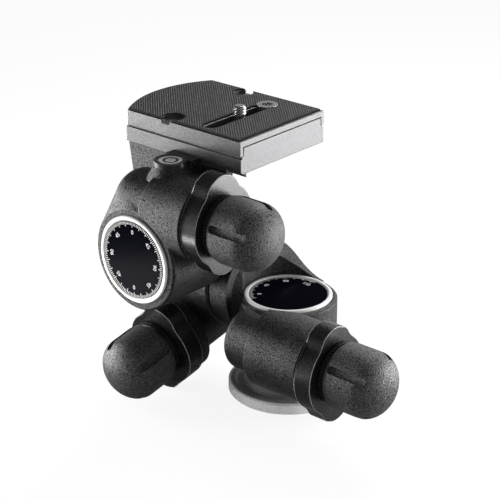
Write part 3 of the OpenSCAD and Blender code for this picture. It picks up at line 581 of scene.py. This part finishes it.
def ribs_allowed():
    """Test of whether a point of the pad may carry a rib."""
    straight_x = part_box("plate_pad")[1].x
    low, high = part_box("plate")
    screw, stored = box_mid("camera_screw"), box_mid("stored_screw")
    cy = (low.y + high.y) / 2
    half_w = (high.y - low.y) / 2
    arc_r = (half_w ** 2 + PLATE_BULGE ** 2) / (2 * PLATE_BULGE)
    arc_x = low.x + arc_r
    notch_x = high.x - NOTCH_X

    def allowed(x, y):
        if x > straight_x - END_CLEAR or abs(y - cy) > half_w - EDGE_CLEAR:
            return False
        if x < arc_x and math.hypot(x - arc_x, y - cy) > arc_r - EDGE_CLEAR:
            return False
        in_slot = min(max(y, low.y + SLOT_START), low.y + SLOT_END)
        if math.hypot(x - screw.x, y - in_slot) < SLOT_CLEAR:
            return False
        if math.hypot(x - stored.x, y - stored.y) < STORED_CLEAR:
            return False
        for side in (-1, 1):
            notch_y = cy + side * (half_w - NOTCH_IN)
            if math.hypot(x - notch_x, y - notch_y) < NOTCH_CLEAR:
                return False
            if abs(x - notch_x) < NOTCH_HALF_CLEAR and (y - notch_y) * side > 0:
                return False
        return True

    return allowed


def stretches(allowed, middle, along):
    """Ends of each allowed stretch of a line through middle."""
    reach = int(RIB_REACH / RIB_TEST)
    first = None
    for i in range(-reach, reach + 2):
        if i <= reach and allowed(*(middle + along * (i * RIB_TEST))):
            if first is None:
                first = i
        elif first is not None:
            if i - first > RIB_SHORTEST:
                yield middle + along * (first * RIB_TEST), middle + along * ((i - 1) * RIB_TEST)
            first = None


def rib(bm, length, matrix):
    """Low rib with sloping sides along X."""
    inset = RIB_HALF * RIB_SLOPE
    rings = []
    for d, z in ((0, 0), (inset, RIB_HIGH)):
        x0, x1, y0, y1 = d, length - d, d - RIB_HALF, RIB_HALF - d
        corners = ((x0, y0, z), (x1, y0, z), (x1, y1, z), (x0, y1, z))
        rings.append([bm.verts.new(matrix @ Vector(p)) for p in corners])
    lower, upper = rings
    bm.faces.new(upper)
    for j in range(4):
        k = (j + 1) % 4
        bm.faces.new((lower[j], lower[k], upper[k], upper[j]))


def pad_ribs():
    middle = box_mid("plate_pad").to_2d()
    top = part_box("plate_pad")[1].z
    along = Vector((1, -1)).normalized()
    across = Vector((1, 1)).normalized()
    allowed = ribs_allowed()
    lines = int(RIB_REACH / RIB_STEP)
    bm = bmesh.new()
    for n in range(-lines, lines + 1):
        for start, end in stretches(allowed, middle + across * (n * RIB_STEP), along):
            turn = Matrix.Translation((start.x, start.y, top)) @ Matrix.Rotation(-math.pi / 4, 4, "Z")
            rib(bm, (end - start).length, turn)
    ribs = new_piece("plate_pad_ribs", bm, "plate", pad_rubber, smooth=False)


pad_ribs()

# ---------------------------------------------------------------- level: circle and bubble

# radii are shares of the vial's
CIRCLE_SHARE = 0.45
CIRCLE_WIDE = 1.3 * MM
CIRCLE_LOW, CIRCLE_HIGH = 0.01 * MM, 0.06 * MM
CIRCLE_SIDES = 48
BUBBLE_SHARE = 0.36
BUBBLE_HIGH = 0.16 * MM
BUBBLE_SIDES, BUBBLE_ROWS = 32, 7


def level_circle(vial_r, top):
    inner = CIRCLE_SHARE * vial_r
    outer = inner + CIRCLE_WIDE
    bm = bmesh.new()
    lathe(bm, [(inner, CIRCLE_LOW), (outer, CIRCLE_LOW), (outer, CIRCLE_HIGH), (inner, CIRCLE_HIGH)],
          top, CIRCLE_SIDES)
    circle = new_piece("level_circle", bm, "side_stage", cup_plastic)


def level_bubble(vial_r, top):
    """Shallow dome on top of the vial."""
    bm = bmesh.new()
    grid = []
    for i in range(1, BUBBLE_ROWS + 1):
        a = math.pi / 2 * i / BUBBLE_ROWS
        r, z = BUBBLE_SHARE * vial_r * math.sin(a), BUBBLE_HIGH * math.cos(a)
        grid.append([bm.verts.new(top @ Vector((r * math.cos(b), r * math.sin(b), z)))
                     for b in (2 * math.pi * j / BUBBLE_SIDES for j in range(BUBBLE_SIDES))])
    crown = bm.verts.new(top @ Vector((0, 0, BUBBLE_HIGH)))
    for j in range(BUBBLE_SIDES):
        k = (j + 1) % BUBBLE_SIDES
        bm.faces.new((crown, grid[0][j], grid[0][k]))
        for i in range(BUBBLE_ROWS - 1):
            bm.faces.new((grid[i][j], grid[i + 1][j], grid[i + 1][k], grid[i][k]))
    bubble = new_piece("level_bubble", bm, "side_stage", bubble_glass)


def level():
    low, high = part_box("level_vial")
    vial_r = (high.x - low.x) / 2
    top = Matrix.Translation(((low.x + high.x) / 2, (low.y + high.y) / 2, high.z))
    level_circle(vial_r, top)
    level_bubble(vial_r, top)


level()

# ---------------------------------------------------------------- stage: floor and world

# places on the floor, and those of the lamps and the camera, are in metres
FLOOR_HALF = 4.0
FLOOR_GAP = 0.3 * MM  # below the object
FLOOR_MATT = 0.8
# share of the plain glow in what the camera sees of the floor; the rest is lit and keeps the shadow
FLOOR_GLOW = 0.88
# what gloss mirrors of the floor: white on the picture's right and far on its left, dim between
FLOOR_RIGHT = (0.66, 0.75)
SWEEP_LOW, SWEEP_HIGH = -0.02, 0.2
LEFT_NEAR, LEFT_FAR = -0.14, -0.3
DIM_LEVEL = 0.1
# what gloss mirrors of the room: white low on the right, darker to the left and towards the ceiling
ROOM_RIGHT = (0.75, 0.66)
LEFT_WALL, RIGHT_WALL, LEFT_LEVEL = -0.3, 0.4, 0.25
WALL_TOP, CEILING_START, CEILING_LEVEL = 0.1, 0.4, 0.12
# plain light from all round
WORLD_LEVEL = 0.62


def ray_kinds(tree):
    """(1 for camera rays, 1 for glossy and transmission rays)."""
    path = tree.nodes.new("ShaderNodeLightPath").outputs
    mirrored = math_node(tree, "ADD", path["Is Glossy Ray"], path["Is Transmission Ray"], clamp=True)
    return path["Is Camera Ray"], mirrored


def position(tree, space):
    coords = tree.nodes.new("ShaderNodeTexCoord").outputs[space]
    return add_node(tree, "ShaderNodeSeparateXYZ", {0: coords}).outputs


def towards(tree, at, direction):
    """How far a position lies in a level direction."""
    return math_node(tree, "ADD", math_node(tree, "MULTIPLY", at["X"], direction[0]),
                     math_node(tree, "MULTIPLY", at["Y"], direction[1]))


def floor_white():
    material = bpy.data.materials.new("floor_white")
    material.use_nodes = True
    tree = material.node_tree
    tree.nodes.remove(tree.nodes["Principled BSDF"])
    seen, mirrored = ray_kinds(tree)
    at = position(tree, "Object")
    swept = math_node(tree, "MAXIMUM",
                      map_range(tree, towards(tree, at, FLOOR_RIGHT), SWEEP_LOW, SWEEP_HIGH, DIM_LEVEL, 1.0),
                      map_range(tree, at["X"], LEFT_NEAR, LEFT_FAR, DIM_LEVEL, 1.0))
    strength = math_node(tree, "MAXIMUM", swept, seen)
    glow = add_node(tree, "ShaderNodeEmission", {"Color": (1, 1, 1, 1), "Strength": strength})
    matt = add_node(tree, "ShaderNodeBsdfDiffuse", {"Color": (FLOOR_MATT, FLOOR_MATT, FLOOR_MATT, 1)})
    weight = math_node(tree, "ADD", math_node(tree, "MULTIPLY", seen, FLOOR_GLOW), mirrored, clamp=True)
    mix = add_node(tree, "ShaderNodeMixShader", {"Fac": weight, 1: matt.outputs[0], 2: glow.outputs[0]})
    tree.links.new(mix.outputs[0], tree.nodes["Material Output"].inputs["Surface"])
    return material


def build_floor():
    bm = bmesh.new()
    bmesh.ops.create_grid(bm, x_segments=4, y_segments=4, size=FLOOR_HALF)
    mesh = bpy.data.meshes.new("floor")
    bm.to_mesh(mesh)
    bm.free()
    mesh.materials.append(floor_white())
    floor = add_object("floor", mesh)
    floor.location.z = start_bounds[0].z - FLOOR_GAP


def build_world():
    world = bpy.data.worlds.new("studio")
    bpy.context.scene.world = world
    world.use_nodes = True
    tree = world.node_tree
    seen, mirrored = ray_kinds(tree)
    at = position(tree, "Generated")
    height = map_range(tree, at["Z"], WALL_TOP, CEILING_START, 1.0, CEILING_LEVEL)
    sides = map_range(tree, towards(tree, at, ROOM_RIGHT), LEFT_WALL, RIGHT_WALL, LEFT_LEVEL, 1.0)
    room = math_node(tree, "MULTIPLY", math_node(tree, "MULTIPLY", mirrored, sides), height)
    plain = math_node(tree, "MULTIPLY", math_node(tree, "SUBTRACT", 1.0, mirrored), WORLD_LEVEL)
    strength = math_node(tree, "MAXIMUM", math_node(tree, "ADD", room, plain), seen)
    back = tree.nodes["Background"]
    back.inputs["Color"].default_value = (1, 1, 1, 1)
    tree.links.new(strength, back.inputs["Strength"])


build_floor()
build_world()

# ---------------------------------------------------------------- lamps and camera

LAMP_TARGET = Vector((-0.01, -0.01, 0.07))
# place, width, height and watts; the low ones brighten the faces towards +X and -Y
LAMPS = {
    "lamp_right": ((0.42, 0.48, 0.135), 0.4, 0.26, 3.2),
    "lamp_low": ((0.2, 0.2, 0.045), 0.24, 0.08, 0.75),
    "lamp_low_near": ((0.125, 0.115, 0.015), 0.12, 0.03, 0.05),
    "lamp_left": ((-0.38, -0.18, 0.09), 0.2, 0.17, 2.3),
    "lamp_front": ((-0.13, -0.13, 0.016), 0.13, 0.032, 0.13),
    "lamp_back": ((-0.1, 0.42, 0.5), 0.3, 0.25, 3.2),
}
CAMERA_AT = (0.4589, -0.5535, 0.3884)
CAMERA_AZIMUTH = math.radians(41.17)
CAMERA_ELEVATION = math.radians(23.52)
CAMERA_ROLL = math.radians(-0.15)
CAMERA_LENS, CAMERA_SENSOR = 115.2, 36


def soft_lamp(name, place, width, height, power):
    lamp = bpy.data.lights.new(name, "AREA")
    lamp.shape = "RECTANGLE"
    lamp.size, lamp.size_y = width, height
    lamp.energy = power
    obj = add_object(name, lamp)
    obj.location = place
    obj.rotation_euler = (LAMP_TARGET - Vector(place)).to_track_quat("-Z", "Y").to_euler()
    obj.visible_camera = False


def build_camera():
    flat = math.cos(CAMERA_ELEVATION)
    back = Vector((math.sin(CAMERA_AZIMUTH) * flat, -math.cos(CAMERA_AZIMUTH) * flat,
                   math.sin(CAMERA_ELEVATION)))
    right = Vector((math.cos(CAMERA_AZIMUTH), math.sin(CAMERA_AZIMUTH), 0))
    turn = Matrix((right, back.cross(right), back)).transposed() @ Matrix.Rotation(CAMERA_ROLL, 3, "Z")
    camera = add_object("camera", bpy.data.cameras.new("camera"))
    camera.data.lens = CAMERA_LENS
    camera.data.sensor_width = CAMERA_SENSOR
    camera.data.clip_start, camera.data.clip_end = 0.01, 50
    camera.matrix_world = Matrix.Translation(CAMERA_AT) @ turn.to_4x4()
    bpy.context.scene.camera = camera


for lamp_name, settings in LAMPS.items():
    soft_lamp(lamp_name, *settings)
build_camera()
bpy.context.scene.view_settings.view_transform = "Standard"
